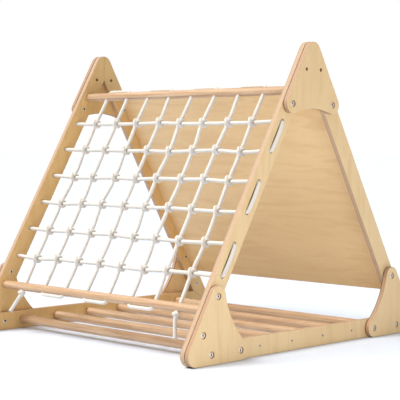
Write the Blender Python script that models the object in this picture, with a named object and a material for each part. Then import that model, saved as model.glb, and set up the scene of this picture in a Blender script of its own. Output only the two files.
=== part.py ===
"""Toddler climbing triangle: two plywood side triangles held apart by dowels, with a rope net on the
front slope, a plywood panel on the back slope and a dowel ladder along the base.

Metres, +Z up. X runs along the dowels, the net slope faces -Y and the panel slope faces +Y. The origin
is on the floor under the middle of the frame.
"""
import math

import bmesh
import bpy
from mathutils import Matrix, Vector

# Side triangles: six rails, mitred in pairs at three equal corners.
SIDE = 1.020                # outer edge of a side triangle, corner point to corner point
INNER_WIDTH = 0.850         # clear width between the left and the right rails
RAIL_WIDTH = 0.054
PLY = 0.015                 # sheet thickness of the rails and the gussets
CORNER_RADIUS = 0.030
EDGE_ROUND = 0.0014         # rounding along the cut edges of the plywood
GAP = 0.0003                # between pieces that touch
BAR_TURN = 0.13             # radians between the facets of one drilled hole and the next

# Gussets and the bolts that clamp them to the rails, measured along the outer edge from a corner point.
NEAR_BOLT = 0.108
FAR_BOLT = 0.219
WAIST_INSET = 0.0147        # how far the hollow side of a gusset is set in from its two lobes
BOLT_D = 0.0084
BOLT_CLEARANCE = 0.0003     # all round the bolt in its hole
HEAD_D = 0.0145
HEAD_HEIGHT = 0.0022
RECESS_D = 0.018            # of the round recess in a gusset that a bolt head lies in
RECESS_DEPTH = 0.0028
NUT_D = 0.0125
NUT_HEIGHT = 0.0016

# Dowels, seated in blind sockets and drawn up by a screw through each rail.
DOWEL_D = 0.025
END_DOWEL = 0.176           # corner point to the nearest dowel
BASE_DOWELS = 6
SOCKET_DEPTH = 0.006
SCREW_HOLE_D = 0.005

# Panel on the back slope, slid into grooves in the panel rails.
PANEL_THICKNESS = 0.009
PANEL_CLEARANCE = 0.0006    # panel's inner face to the nuts of the bolts that pass it
PANEL_TOP = 0.164           # top corner point to the panel's top edge
PANEL_BOTTOM = 0.157        # back corner point to the panel's bottom edge
GROOVE_DEPTH = 0.006
PANEL_CORNER = 0.004

# Rope net.
ROPE_D = 0.011
ROPE_HOLE_CLEARANCE = 0.0008
ROPES_DOWN = 8
ROPES_ACROSS = 6
END_ROPE = 0.099            # net dowel to the nearest rope across
STITCH_LIFT = 0.002         # clear height of a stitch over the wood it crosses
STITCH_BEND = 0.009         # bend radius of a stitch at its middle line
END_KNOT_D = 0.015
SWAY = 0.040                # length over which a rope across moves behind the ropes down

# Free ends of the rope that runs down, below the bottom net dowel.
LEFT_TAIL = (
    (-0.3306, -0.4052, 0.1276), (-0.3310, -0.4086, 0.1212), (-0.3322, -0.4126, 0.1142),
    (-0.3343, -0.4170, 0.1064), (-0.3368, -0.4217, 0.0982), (-0.3394, -0.4265, 0.0900),
    (-0.3420, -0.4312, 0.0818), (-0.3444, -0.4357, 0.0740), (-0.3462, -0.4392, 0.0676),
)
RIGHT_TAIL = (
    (0.3306, -0.4052, 0.1276), (0.3303, -0.4083, 0.1215), (0.3300, -0.4106, 0.1148),
    (0.3301, -0.4120, 0.1070), (0.3304, -0.4128, 0.0985), (0.3308, -0.4133, 0.0900),
    (0.3313, -0.4137, 0.0815), (0.3319, -0.4142, 0.0730), (0.3325, -0.4149, 0.0650),
    (0.3331, -0.4158, 0.0575),
)

SIXTH = math.radians(60.0)
HEIGHT = SIDE * math.sin(SIXTH)
CORNERS = {"front": (-SIDE / 2, 0.0), "back": (SIDE / 2, 0.0), "top": (0.0, HEIGHT)}
# Each rail's own frame: its start corner, and the turn about X that lays +Y along its outer edge and
# +Z towards the middle of the triangle.
RAILS = {
    "base_rail": ("front", 0.0),
    "panel_rail": ("back", 2 * SIXTH),
    "net_rail": ("top", 4 * SIXTH),
}
# The turn that lays +Y along each corner's bisector.
GUSSETS = {"front": 0.5 * SIXTH, "back": 2.5 * SIXTH, "top": 4.5 * SIXTH}
SIDES = {"left": -1, "right": 1}
MIDDLE = RAIL_WIDTH / 2      # the bolts, dowels and ropes all meet the rails on this line
PANEL_CENTRE = MIDDLE - NUT_D / 2 - PANEL_CLEARANCE - PANEL_THICKNESS / 2
NET_LENGTH = SIDE - 2 * END_DOWEL
NET_ROWS = [
    END_DOWEL + END_ROPE + i * (NET_LENGTH - 2 * END_ROPE) / (ROPES_ACROSS - 1)
    for i in range(ROPES_ACROSS)
]
NET_COLUMNS = [
    -INNER_WIDTH / 2 + (i + 1) * INNER_WIDTH / (ROPES_DOWN + 1) for i in range(ROPES_DOWN)
]
ROPE_HOLE_D = ROPE_D + 2 * ROPE_HOLE_CLEARANCE
OUTER_FACE = INNER_WIDTH / 2 + PLY          # of the rails
GUSSET_FACE = OUTER_FACE + GAP + PLY        # outer face of the gussets


def clear_scene():
    for old in list(bpy.data.objects):
        bpy.data.objects.remove(old, do_unlink=True)


def material(name, colour, roughness, metallic=0.0):
    made = bpy.data.materials.new(name)
    made.use_nodes = True
    shader = made.node_tree.nodes["Principled BSDF"]
    shader.inputs["Base Color"].default_value = (*colour, 1.0)
    shader.inputs["Roughness"].default_value = roughness
    shader.inputs["Metallic"].default_value = metallic
    return made


def placed(name, data, frame=Matrix(), finish=None):
    """A new object from mesh or curve data, at the given frame."""
    obj = bpy.data.objects.new(name, data)
    obj.matrix_world = frame
    bpy.context.scene.collection.objects.link(obj)
    if finish:
        data.materials.clear()
        data.materials.append(finish)
    return obj


def mesh_from(bm, name, smooth=False):
    bmesh.ops.recalc_face_normals(bm, faces=bm.faces)
    mesh = bpy.data.meshes.new(name)
    bm.to_mesh(mesh)
    bm.free()
    if smooth:
        mesh.shade_smooth()
        mesh.set_sharp_from_angle(angle=math.radians(40))
    return mesh


def corner_frame(corner, turn, x=0.0):
    """The frame of a rail or a gusset: at a corner of the triangle, turned about X."""
    y, z = CORNERS[corner]
    return Matrix.Translation((x, y, z)) @ Matrix.Rotation(turn, 4, "X")


def on_rail(rail, along, inward, x=0.0):
    """World point at a distance along a rail's outer edge and in from it."""
    corner, turn = RAILS[rail]
    return corner_frame(corner, turn, x) @ Vector((0.0, along, inward))


def arc(centre, radius, start, end, steps):
    """Points on an arc in the plane of a plate, angles in degrees."""
    points = []
    for i in range(steps + 1):
        angle = math.radians(start + (end - start) * i / steps)
        points.append((centre[0] + radius * math.cos(angle), centre[1] + radius * math.sin(angle)))
    return points


def plate(name, outline, square_edges=()):
    """A flat plate of one sheet thickness from X = 0, with its outline's edges rounded over.

    square_edges are the outline edges, by the index of their first point, that stay square.
    """
    bm = bmesh.new()
    count = len(outline)
    near = [bm.verts.new((0.0, y, z)) for y, z in outline]
    far = [bm.verts.new((PLY, y, z)) for y, z in outline]
    bm.faces.new(near)
    bm.faces.new(list(reversed(far)))
    rounded = []
    for i in range(count):
        after = (i + 1) % count
        bm.faces.new((near[i], far[i], far[after], near[after]))
        if i not in square_edges:
            rounded.append(bm.edges.get((near[i], near[after])))
            rounded.append(bm.edges.get((far[i], far[after])))
    bmesh.ops.bevel(
        bm, geom=rounded, offset=EDGE_ROUND, segments=2, profile=0.5, affect="EDGES", clamp_overlap=True
    )
    return mesh_from(bm, name)


def rail_outline():
    """One rail in its own frame: a rounded quarter corner at each end and mitres on the bisectors."""
    half_gap = GAP / 2
    mitre_foot = RAIL_WIDTH / math.tan(SIXTH / 2) + 2 * half_gap
    start_angle = 210.0 + math.degrees(math.asin(half_gap / CORNER_RADIUS))
    centre = (CORNER_RADIUS / math.tan(SIXTH / 2), CORNER_RADIUS)
    start = arc(centre, CORNER_RADIUS, start_angle, 270.0, 5)
    end = [(SIDE - y, z) for y, z in reversed(start)]
    outline = start + end + [(SIDE - mitre_foot, RAIL_WIDTH), (mitre_foot, RAIL_WIDTH)]
    last = len(outline) - 1
    return outline, (last - 2, last)


def along_bisector(along, inward):
    """A point given along and in from a corner's outer edge, in the gusset's bisector frame."""
    half = SIXTH / 2
    return (
        along * math.cos(half) + inward * math.sin(half),
        -along * math.sin(half) + inward * math.cos(half),
    )


def gusset_outline():
    """A rounded corner, a round lobe over each far bolt and one hollow arc between the lobes."""
    lobe = MIDDLE
    lobe_y, lobe_z = along_bisector(FAR_BOLT, MIDDLE)
    waist = lobe_y + lobe - WAIST_INSET
    hollow = ((waist - lobe_y) ** 2 + lobe_z ** 2 - lobe ** 2) / (2 * WAIST_INSET)
    hollow_centre = waist + hollow
    meet = math.degrees(math.atan2(-lobe_z, hollow_centre - lobe_y))
    corner = arc((2 * CORNER_RADIUS, 0.0), CORNER_RADIUS, 120.0, 240.0, 8)
    low_lobe = arc((lobe_y, lobe_z), lobe, 240.0, 360.0 + meet, 8)
    waist_arc = arc((hollow_centre, 0.0), hollow, 180.0 + meet, 180.0 - meet, 10)[1:-1]
    high_lobe = arc((lobe_y, -lobe_z), lobe, -meet, 120.0, 8)
    return corner + low_lobe + waist_arc + high_lobe


def cylinders(name, stations, diameter, sides):
    """One cutter mesh of round bars: each station is (start point, end point).

    Each bar is turned about itself by its own angle, so that no two holes' corners fall in one line.
    """
    bm = bmesh.new()
    circumscribed = diameter / 2 / math.cos(math.pi / sides)
    for i, (start, end) in enumerate(stations):
        run = end - start
        aim = run.to_track_quat("Z", "Y").to_matrix().to_4x4()
        frame = Matrix.Translation((start + end) / 2) @ aim @ Matrix.Rotation(BAR_TURN * (i + 1), 4, "Z")
        bmesh.ops.create_cone(
            bm, cap_ends=True, segments=sides, radius1=circumscribed, radius2=circumscribed,
            depth=run.length, matrix=frame,
        )
    cutter = placed(name, mesh_from(bm, name))
    return as_cutter(cutter)


def as_cutter(obj):
    obj.hide_render = True
    obj.display_type = "WIRE"
    return obj


def cut(obj, cutter, solver="EXACT"):
    tool = obj.modifiers.new(cutter.name, "BOOLEAN")
    tool.operation = "DIFFERENCE"
    tool.solver = solver
    tool.object = cutter


def across(rail, along, inward, half_length):
    """A line along X through both sides, at a place on a rail."""
    return (on_rail(rail, along, inward, -half_length), on_rail(rail, along, inward, half_length))


def bolt_stations():
    """Every gusset bolt hole as (corner, rail, distance along that rail)."""
    stations = []
    for rail, ends in (
        ("base_rail", ("front", "back")), ("panel_rail", ("back", "top")), ("net_rail", ("top", "front"))
    ):
        for distance in (NEAR_BOLT, FAR_BOLT):
            stations.append((ends[0], rail, distance, distance))
            stations.append((ends[1], rail, SIDE - distance, distance))
    return stations


def stays_empty(corner, distance):
    """The near holes at the top corners hold no bolt."""
    return corner == "top" and distance == NEAR_BOLT


def dowel_stations():
    """The place of each dowel's axis as (name, rail, distance along the rail)."""
    pitch = (SIDE - 2 * END_DOWEL) / (BASE_DOWELS - 1)
    stations = [
        (f"base_dowel_{i + 1}", "base_rail", END_DOWEL + i * pitch) for i in range(BASE_DOWELS)
    ]
    stations.append(("net_dowel_top", "net_rail", END_DOWEL))
    stations.append(("net_dowel_bottom", "net_rail", SIDE - END_DOWEL))
    return stations


def make_cutters():
    past_all = OUTER_FACE + 2 * PLY
    bolts = [across(rail, along, MIDDLE, past_all) for _, rail, along, _ in bolt_stations()]
    recesses = []
    for corner, rail, along, distance in bolt_stations():
        if stays_empty(corner, distance):
            continue
        for sign in SIDES.values():
            recesses.append((
                on_rail(rail, along, MIDDLE, sign * (GUSSET_FACE - RECESS_DEPTH)),
                on_rail(rail, along, MIDDLE, sign * past_all),
            ))
    dowels = [(rail, along) for _, rail, along in dowel_stations()]
    socket_reach = INNER_WIDTH / 2 + SOCKET_DEPTH
    net = corner_frame(*RAILS["net_rail"])
    past_dowel = DOWEL_D
    columns = []
    for middle in (END_DOWEL, SIDE - END_DOWEL):
        for x in NET_COLUMNS:
            columns.append((
                net @ Vector((x, middle - past_dowel, MIDDLE)),
                net @ Vector((x, middle + past_dowel, MIDDLE)),
            ))
    return {
        "bolts": cylinders("bolt_drill", bolts, BOLT_D + 2 * BOLT_CLEARANCE, 12),
        "recesses": cylinders("head_recess_drill", recesses, RECESS_D, 16),
        "sockets": cylinders(
            "dowel_socket_drill",
            [across(rail, along, MIDDLE, socket_reach) for rail, along in dowels],
            DOWEL_D + 2 * GAP, 24,
        ),
        "screws": cylinders(
            "screw_drill", [across(rail, along, MIDDLE, past_all) for rail, along in dowels],
            SCREW_HOLE_D, 8,
        ),
        "rows": cylinders(
            "rope_hole_drill",
            [across("net_rail", row, MIDDLE, past_all) for row in NET_ROWS], ROPE_HOLE_D, 12,
        ),
        "columns": cylinders("net_dowel_drill", columns, ROPE_HOLE_D, 10),
    }


def panel_block(name, half_width, slack, corner):
    """The panel, or with slack the groove that takes it, in the panel rail's frame."""
    low = PANEL_BOTTOM - slack
    high = SIDE - PANEL_TOP + slack
    bm = bmesh.new()
    bmesh.ops.create_cube(bm, size=1.0)
    size = (2 * half_width, high - low, PANEL_THICKNESS + 2 * slack)
    bmesh.ops.scale(bm, vec=size, verts=bm.verts)
    centre = (0.0, (low + high) / 2, PANEL_CENTRE)
    bmesh.ops.translate(bm, vec=centre, verts=bm.verts)
    if corner:
        upright = [e for e in bm.edges if abs(e.verts[0].co.z - e.verts[1].co.z) > PANEL_THICKNESS / 2]
        bmesh.ops.bevel(bm, geom=upright, offset=corner, segments=3, profile=0.5, affect="EDGES")
    return placed(name, mesh_from(bm, name), corner_frame(*RAILS["panel_rail"]))


def make_rails(cutters, groove, finish):
    mesh = plate("rail", *rail_outline())
    for rail, (corner, turn) in RAILS.items():
        for side, sign in SIDES.items():
            inner = INNER_WIDTH / 2 if sign > 0 else -OUTER_FACE
            obj = placed(f"{rail}_{side}", mesh, corner_frame(corner, turn, inner), finish)
            cut(obj, cutters["bolts"])
            if rail == "panel_rail":
                cut(obj, groove)
                continue
            # With this many holes in one face, the exact solver leaves the net rails torn.
            cut(obj, cutters["sockets"], "MANIFOLD")
            cut(obj, cutters["screws"], "MANIFOLD")
            if rail == "net_rail":
                cut(obj, cutters["rows"], "MANIFOLD")


def make_gussets(cutters, finish):
    mesh = plate("gusset", gusset_outline())
    for corner, turn in GUSSETS.items():
        for side, sign in SIDES.items():
            inner = OUTER_FACE + GAP
            x = inner if sign > 0 else -inner - PLY
            obj = placed(f"gusset_{corner}_{side}", mesh, corner_frame(corner, turn, x), finish)
            cut(obj, cutters["bolts"])
            cut(obj, cutters["recesses"])


def turned(name, profile, sides):
    """A solid turned about X from (x, radius) points that start and end on the axis."""
    bm = bmesh.new()
    verts = [bm.verts.new((x, 0.0, radius)) for x, radius in profile]
    edges = [bm.edges.new(pair) for pair in zip(verts, verts[1:])]
    bmesh.ops.spin(
        bm, geom=verts + edges, cent=(0, 0, 0), axis=(1, 0, 0), angle=2 * math.pi, steps=sides,
        use_merge=True, use_duplicate=False,
    )
    bmesh.ops.remove_doubles(bm, verts=bm.verts, dist=1e-6)
    return mesh_from(bm, name, smooth=True)


def make_bolts(finish):
    """A head in its recess outside, a sleeve through gusset and rail, and the nut's collar inside."""
    inside = INNER_WIDTH / 2 - GAP
    outside = GUSSET_FACE - RECESS_DEPTH + GAP
    mesh = turned("bolt", (
        (inside - NUT_HEIGHT, 0.0), (inside - NUT_HEIGHT, NUT_D / 2), (inside, NUT_D / 2),
        (inside, BOLT_D / 2), (outside, BOLT_D / 2), (outside, HEAD_D / 2),
        (outside + HEAD_HEIGHT, HEAD_D * 0.42), (outside + HEAD_HEIGHT, 0.0),
    ), 12)
    counts = {}
    for corner, rail, along, distance in bolt_stations():
        if stays_empty(corner, distance):
            continue
        counts[corner] = counts.get(corner, 0) + 1
        spot = Matrix.Translation(on_rail(rail, along, MIDDLE))
        for side, sign in SIDES.items():
            turn = Matrix.Rotation(0.0 if sign > 0 else math.pi, 4, "Z")
            placed(f"bolt_{corner}_{side}_{counts[corner]}", mesh, spot @ turn, finish)


def make_dowels(cutters, finish):
    reach = INNER_WIDTH / 2 + SOCKET_DEPTH - GAP
    bm = bmesh.new()
    bmesh.ops.create_cone(
        bm, cap_ends=True, segments=24, radius1=DOWEL_D / 2, radius2=DOWEL_D / 2, depth=2 * reach,
        matrix=Matrix.Rotation(math.pi / 2, 4, "Y"),
    )
    mesh = mesh_from(bm, "dowel", smooth=True)
    for name, rail, along in dowel_stations():
        obj = placed(name, mesh, Matrix.Translation(on_rail(rail, along, MIDDLE)), finish)
        if rail == "net_rail":
            cut(obj, cutters["columns"])


def tube(name, points, finish, frame=Matrix(), sides_setting=2):
    """A round rope along the points, with flat ends."""
    curve = bpy.data.curves.new(name, "CURVE")
    curve.dimensions = "3D"
    curve.bevel_depth = ROPE_D / 2
    curve.bevel_resolution = sides_setting
    curve.use_fill_caps = True
    spline = curve.splines.new("POLY")
    spline.points.add(len(points) - 1)
    for point, place in zip(spline.points, points):
        point.co = (*place, 1.0)
    return placed(name, curve, frame, finish)


def stitch(surface, start, end):
    """(height, travel) points of a stitch that leaves a hole at start and goes back in at end.

    Heights count outwards from the hole's own middle; surface is where the wood ends.
    """
    top = surface + ROPE_D / 2 + STITCH_LIFT
    way = 1.0 if end > start else -1.0
    bend = [math.radians(90.0 * i / 4) for i in range(5)]
    rise = [
        (top - STITCH_BEND * (1 - math.sin(a)), start + way * STITCH_BEND * (1 - math.cos(a)))
        for a in bend
    ]
    fall = [(height, end - (travel - start)) for height, travel in reversed(rise)]
    return rise + fall + [(surface - ROPE_D / 2, end)]


def make_ropes_down(finish):
    """Eight runs of one rope. An odd run carries its stitch over the top dowel, an even one the stitch
    under the bottom dowel, and each stitch ends in the next run's hole."""
    frame = corner_frame(*RAILS["net_rail"])
    surface = DOWEL_D / 2
    hidden = surface - ROPE_D / 2 - GAP
    for i, x in enumerate(NET_COLUMNS):
        top = [(x, END_DOWEL - hidden, MIDDLE)]
        bottom = [(x, SIDE - END_DOWEL + hidden, MIDDLE)]
        if i in (0, ROPES_DOWN - 1):
            bottom = [(x, SIDE - END_DOWEL + surface, MIDDLE)]
        if i + 1 < ROPES_DOWN:
            loop = stitch(surface, x, NET_COLUMNS[i + 1])
            if i % 2 == 0:
                top = [(travel, END_DOWEL - height, MIDDLE) for height, travel in reversed(loop)]
            else:
                bottom = [(travel, SIDE - END_DOWEL + height, MIDDLE) for height, travel in loop]
        tube(f"net_rope_down_{i + 1}", top + bottom, finish, frame)


def make_ropes_across(finish):
    """Six runs of a second rope behind the first, stitched on the outside of the right rail from the
    odd runs and of the left rail from the even ones, with a knot at each end on the left."""
    frame = corner_frame(*RAILS["net_rail"])
    behind = MIDDLE + ROPE_D + GAP
    reach = INNER_WIDTH / 2
    hidden = OUTER_FACE - ROPE_D / 2 - GAP
    sway = []
    for i in range(5):
        part = i / 4
        sway.append((reach - SWAY * part, MIDDLE + (behind - MIDDLE) * part * part * (3 - 2 * part)))
    for i, row in enumerate(NET_ROWS):
        left = [(-hidden, row, MIDDLE)]
        right = [(hidden, row, MIDDLE)]
        if i in (0, ROPES_ACROSS - 1):
            left = [(-OUTER_FACE, row, MIDDLE)]
        if i + 1 < ROPES_ACROSS:
            loop = stitch(OUTER_FACE, row, NET_ROWS[i + 1])
            if i % 2 == 0:
                right = [(height, travel, MIDDLE) for height, travel in loop]
            else:
                left = [(-height, travel, MIDDLE) for height, travel in reversed(loop)]
        inward = [(-x, row, depth) for x, depth in sway]
        outward = [(x, row, depth) for x, depth in reversed(sway)]
        tube(f"net_rope_across_{i + 1}", left + inward + outward + right, finish, frame)


def make_end_knots(finish):
    """Stopper knots of the rope across, against the outside of the left rail."""
    bm = bmesh.new()
    bmesh.ops.create_uvsphere(bm, u_segments=10, v_segments=6, radius=END_KNOT_D / 2)
    mesh = mesh_from(bm, "end_knot", smooth=True)
    x = -(OUTER_FACE + GAP + END_KNOT_D / 2)
    for number, row in ((1, NET_ROWS[0]), (2, NET_ROWS[-1])):
        placed(f"rope_end_knot_{number}", mesh, Matrix.Translation(on_rail("net_rail", row, MIDDLE, x)),
               finish)


def main():
    clear_scene()
    birch = material("birch_plywood", (0.80, 0.62, 0.41), 0.45)
    panel = material("panel_plywood", (0.78, 0.57, 0.36), 0.42)
    beech = material("beech_dowel", (0.78, 0.47, 0.26), 0.38)
    cotton = material("cotton_rope", (0.86, 0.82, 0.76), 0.9)
    steel = material("zinc_steel", (0.72, 0.71, 0.70), 0.28, 1.0)
    cutters = make_cutters()
    groove = as_cutter(panel_block("groove_cutter", INNER_WIDTH / 2 + GROOVE_DEPTH, GAP, 0.0))
    sheet = panel_block("climbing_panel", INNER_WIDTH / 2 + GROOVE_DEPTH - GAP, 0.0, PANEL_CORNER)
    sheet.data.materials.append(panel)
    make_rails(cutters, groove, birch)
    make_gussets(cutters, birch)
    make_bolts(steel)
    make_dowels(cutters, beech)
    make_ropes_down(cotton)
    make_ropes_across(cotton)
    make_end_knots(cotton)
    tube("rope_tail_left", LEFT_TAIL, cotton)
    tube("rope_tail_right", RIGHT_TAIL, cotton)


main()
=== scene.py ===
"""Finished pieces of a toddler climbing triangle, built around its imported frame.

Metres, +Z up. X runs along the dowels, the rope net faces -Y and the plywood panel faces +Y. The rails
and gussets are birch plywood, the dowels are beech, and the net is one white rope that runs down and
one that runs across, hitched together where they cross.
"""
import math
import random

import bmesh
import bpy
import numpy as np
from mathutils import Matrix, Vector


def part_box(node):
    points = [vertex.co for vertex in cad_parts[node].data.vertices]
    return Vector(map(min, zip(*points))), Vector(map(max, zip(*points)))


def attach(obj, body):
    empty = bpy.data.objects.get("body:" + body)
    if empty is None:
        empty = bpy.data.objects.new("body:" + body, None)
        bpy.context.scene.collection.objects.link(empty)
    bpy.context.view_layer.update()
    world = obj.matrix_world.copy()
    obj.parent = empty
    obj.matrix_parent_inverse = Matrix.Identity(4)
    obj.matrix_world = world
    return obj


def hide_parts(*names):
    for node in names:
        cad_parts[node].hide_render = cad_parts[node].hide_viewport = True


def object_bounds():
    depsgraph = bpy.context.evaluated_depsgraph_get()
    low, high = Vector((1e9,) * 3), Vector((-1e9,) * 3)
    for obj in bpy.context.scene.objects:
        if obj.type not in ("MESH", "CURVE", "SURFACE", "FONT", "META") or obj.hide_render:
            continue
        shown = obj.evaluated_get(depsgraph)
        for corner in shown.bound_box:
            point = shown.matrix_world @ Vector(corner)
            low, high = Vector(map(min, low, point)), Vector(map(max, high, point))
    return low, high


bl_info = {
    "name": "Toddler Climbing Triangle",
    "version": (1, 0, 0),
    "blender": (4, 5, 0),
    "location": "3D View > Sidebar > Climbing",
    "description": "Plywood, dowels, bolts and rope net of a toddler climbing triangle",
    "category": "Add Mesh",
}

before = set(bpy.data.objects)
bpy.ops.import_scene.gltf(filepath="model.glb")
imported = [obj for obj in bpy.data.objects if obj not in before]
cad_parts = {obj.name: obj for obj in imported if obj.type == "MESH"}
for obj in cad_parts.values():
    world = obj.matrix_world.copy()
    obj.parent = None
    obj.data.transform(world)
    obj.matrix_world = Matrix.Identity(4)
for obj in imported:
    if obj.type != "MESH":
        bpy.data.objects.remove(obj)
CAD_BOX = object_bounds()
BODY = "root"

SIXTH = math.radians(60.0)
SIDES = {"left": -1, "right": 1}


def middle(node):
    low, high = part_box(node)
    return (low + high) / 2


def span(node):
    low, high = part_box(node)
    return high - low


# Sizes read from the frame.
INNER_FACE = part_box("base_rail_right")[0].x
OUTER_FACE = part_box("base_rail_right")[1].x
PLY = OUTER_FACE - INNER_FACE
RAIL_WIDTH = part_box("base_rail_right")[1].z
MIDDLE = RAIL_WIDTH / 2
GUSSET_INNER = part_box("gusset_top_right")[0].x
GUSSET_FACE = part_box("gusset_top_right")[1].x
DOWEL_D = span("base_dowel_1").z
BOLT_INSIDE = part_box("bolt_top_right_1")[0].x
HEAD_D = span("bolt_top_right_1").z

# Sizes that the frame's boxes don't show.
CORNER_RADIUS = 0.030
WAIST_INSET = 0.0147        # how far a gusset's hollow side is set in from its two lobes
JOINT_GAP = 0.0003
MITRE_EASE = 0.0006
DOWEL_END_ROUND = 0.0012
PANEL_CORNER = 0.004
PANEL_EDGE_ROUND = 0.0012
SOCKET_DEPTH = 0.006        # of a dowel's end in its rail
ROPE_D = 0.011
ROPE_CLEARANCE = 0.0006     # all round the rope in its holes
HOLE_EASE = 0.0008          # on the edges of the rope's holes
MOUTH_D = 0.0132            # of a rope hole, down to the floor of the routed channels
CHANNEL_DEPTH = 0.0030
BOLT_HOLE_D = 0.0090
BOLT_HOLE_EASE = 0.0005
EMPTY_D = 0.0100
RECESS_D = 0.018
RECESS_DEPTH = 0.0042
RECESS_EASE = 0.0004
HEAD_HEIGHT = 0.0024
SHANK_D = 0.0084
NUT_D = 0.0125
SCREW_SUNK = 0.0009         # head below the rail's outer face
SCREW_BITE = 0.020          # length past the rail's inner face
FLOOR_SIZE = 120.0
FLOOR_GAP = 0.0002
YARNS = 46                  # that show at a cut rope end
GOLDEN_ANGLE = 2.399963

# How dark the cut edges are, from 0 to 1: partly saw burn and partly painted shade, strong on the gussets.
RAIL_BURN_AND_SHADE = 0.20
GUSSET_BURN_AND_SHADE = 0.85

SIDE = 2 * (CAD_BOX[1].y + CORNER_RADIUS * (1 / math.tan(SIXTH / 2) - 1))
HEIGHT = SIDE * math.sin(SIXTH)
CORNERS = {"front": (-SIDE / 2, 0.0), "back": (SIDE / 2, 0.0), "top": (0.0, HEIGHT)}
RAILS = {
    "base_rail": ("front", 0.0),
    "panel_rail": ("back", 2 * SIXTH),
    "net_rail": ("top", 4 * SIXTH),
}
GUSSETS = {"front": 0.5 * SIXTH, "back": 2.5 * SIXTH, "top": 4.5 * SIXTH}
BOLTS = {"front": 4, "back": 4, "top": 2}
ROPES_DOWN = 8
ROPES_ACROSS = 6
BASE_DOWELS = 6

# Free ends of the rope that runs down, below the bottom net dowel.
TAILS = {
    "left": (
        (-0.3306, -0.4052, 0.1276), (-0.3310, -0.4086, 0.1212), (-0.3322, -0.4126, 0.1142),
        (-0.3343, -0.4170, 0.1064), (-0.3368, -0.4217, 0.0982), (-0.3394, -0.4265, 0.0900),
        (-0.3420, -0.4312, 0.0818), (-0.3444, -0.4357, 0.0740), (-0.3462, -0.4392, 0.0676),
    ),
    "right": (
        (0.3306, -0.4052, 0.1276), (0.3303, -0.4083, 0.1215), (0.3300, -0.4106, 0.1148),
        (0.3301, -0.4120, 0.1070), (0.3304, -0.4128, 0.0985), (0.3308, -0.4133, 0.0900),
        (0.3313, -0.4137, 0.0815), (0.3319, -0.4142, 0.0730), (0.3325, -0.4149, 0.0650),
        (0.3331, -0.4158, 0.0575),
    ),
}


def corner_frame(corner, turn, x=0.0):
    """The frame of a rail or a gusset: +Y along it from a corner, +Z towards the triangle's middle."""
    y, z = CORNERS[corner]
    return Matrix.Translation((x, y, z)) @ Matrix.Rotation(turn, 4, "X")


NET = corner_frame(*RAILS["net_rail"])


def along_net(node):
    """Distance of a node's middle from the top corner, down the net's slope."""
    return (NET.inverted() @ middle(node)).y


NET_TOP = along_net("net_dowel_top")
NET_BOTTOM = along_net("net_dowel_bottom")
FIRST_ROW = along_net("rope_end_knot_1")
LAST_ROW = along_net("rope_end_knot_2")
ROWS = [FIRST_ROW + i * (LAST_ROW - FIRST_ROW) / (ROPES_ACROSS - 1) for i in range(ROPES_ACROSS)]
COLUMNS = [INNER_FACE * (2 * (i + 1) / (ROPES_DOWN + 1) - 1) for i in range(ROPES_DOWN)]


# ---------------------------------------------------------------------------------- settings

def colour_setting(name, description, default):
    return bpy.props.FloatVectorProperty(
        name=name, description=description, default=default, size=3, min=0.0, max=1.0, subtype="COLOR",
    )


def length_setting(name, description, default, low=0.0):
    return bpy.props.FloatProperty(
        name=name, description=description, default=default, min=low, subtype="DISTANCE", unit="LENGTH",
    )


def angle_setting(name, description, degrees):
    return bpy.props.FloatProperty(
        name=name, description=description, default=math.radians(degrees), subtype="ANGLE", unit="ROTATION",
    )


def power_setting(name, description, default):
    return bpy.props.FloatProperty(name=name, description=description, default=default, min=0.0)


class WoodSettings(bpy.types.PropertyGroup):
    edge_round: length_setting("Edge Round", "Rounding along the cut edges of the plywood", 0.0020)
    plies: bpy.props.IntProperty(
        name="Plies", description="Veneers in the rails and gussets", default=9, min=3,
    )
    face_light: colour_setting("Birch Light", "Lightest tone of the birch face", (0.82, 0.59, 0.31))
    face_dark: colour_setting("Birch Dark", "Tone of the birch figure", (0.68, 0.435, 0.195))
    panel_light: colour_setting("Panel Light", "Lightest tone of the panel", (0.90, 0.64, 0.33))
    panel_dark: colour_setting("Panel Dark", "Tone of the panel's figure", (0.78, 0.50, 0.225))
    edge_light: colour_setting("Edge Light", "Long-grain veneers on a cut edge", (0.70, 0.50, 0.33))
    edge_dark: colour_setting("Edge Dark", "End-grain veneers on a cut edge", (0.36, 0.19, 0.09))
    # Bored Wood is near-black: a little real scorch, darkened far past it as painted shade inside holes,
    # channels and recesses; the plywood also uses it for painted shade at joints and along the floor.
    bored: colour_setting("Bored Wood", "Wood scorched by the drill or the router", (0.075, 0.042, 0.020))
    beech_light: colour_setting("Beech Light", "Lightest tone of the dowels", (0.74, 0.52, 0.325))
    beech_dark: colour_setting("Beech Dark", "Grain of the dowels", (0.46, 0.265, 0.135))


class RopeSettings(bpy.types.PropertyGroup):
    ring_step: length_setting("Ring Step", "Length of rope between two rings of its surface", 0.0020, 0.0005)
    sides: bpy.props.IntProperty(name="Sides", description="Faces round the rope", default=16, min=8)
    hitch_size: bpy.props.FloatProperty(
        name="Hitch Size", description="Size of a hitch against the rope's diameter",
        default=0.81, min=0.5, max=1.2, subtype="FACTOR",
    )
    wander: length_setting("Wander", "How far a crossing strays from its even place", 0.0030)
    stitch_bow: length_setting("Stitch Bow", "How far a stitch on a rail bows off it at its middle", 0.0022)
    stitch_bend: length_setting("Stitch Bend", "Bend radius of a stitch at its holes", 0.0100, 0.002)
    colour: colour_setting("Cotton", "Colour of the rope", (0.78, 0.745, 0.69))


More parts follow.
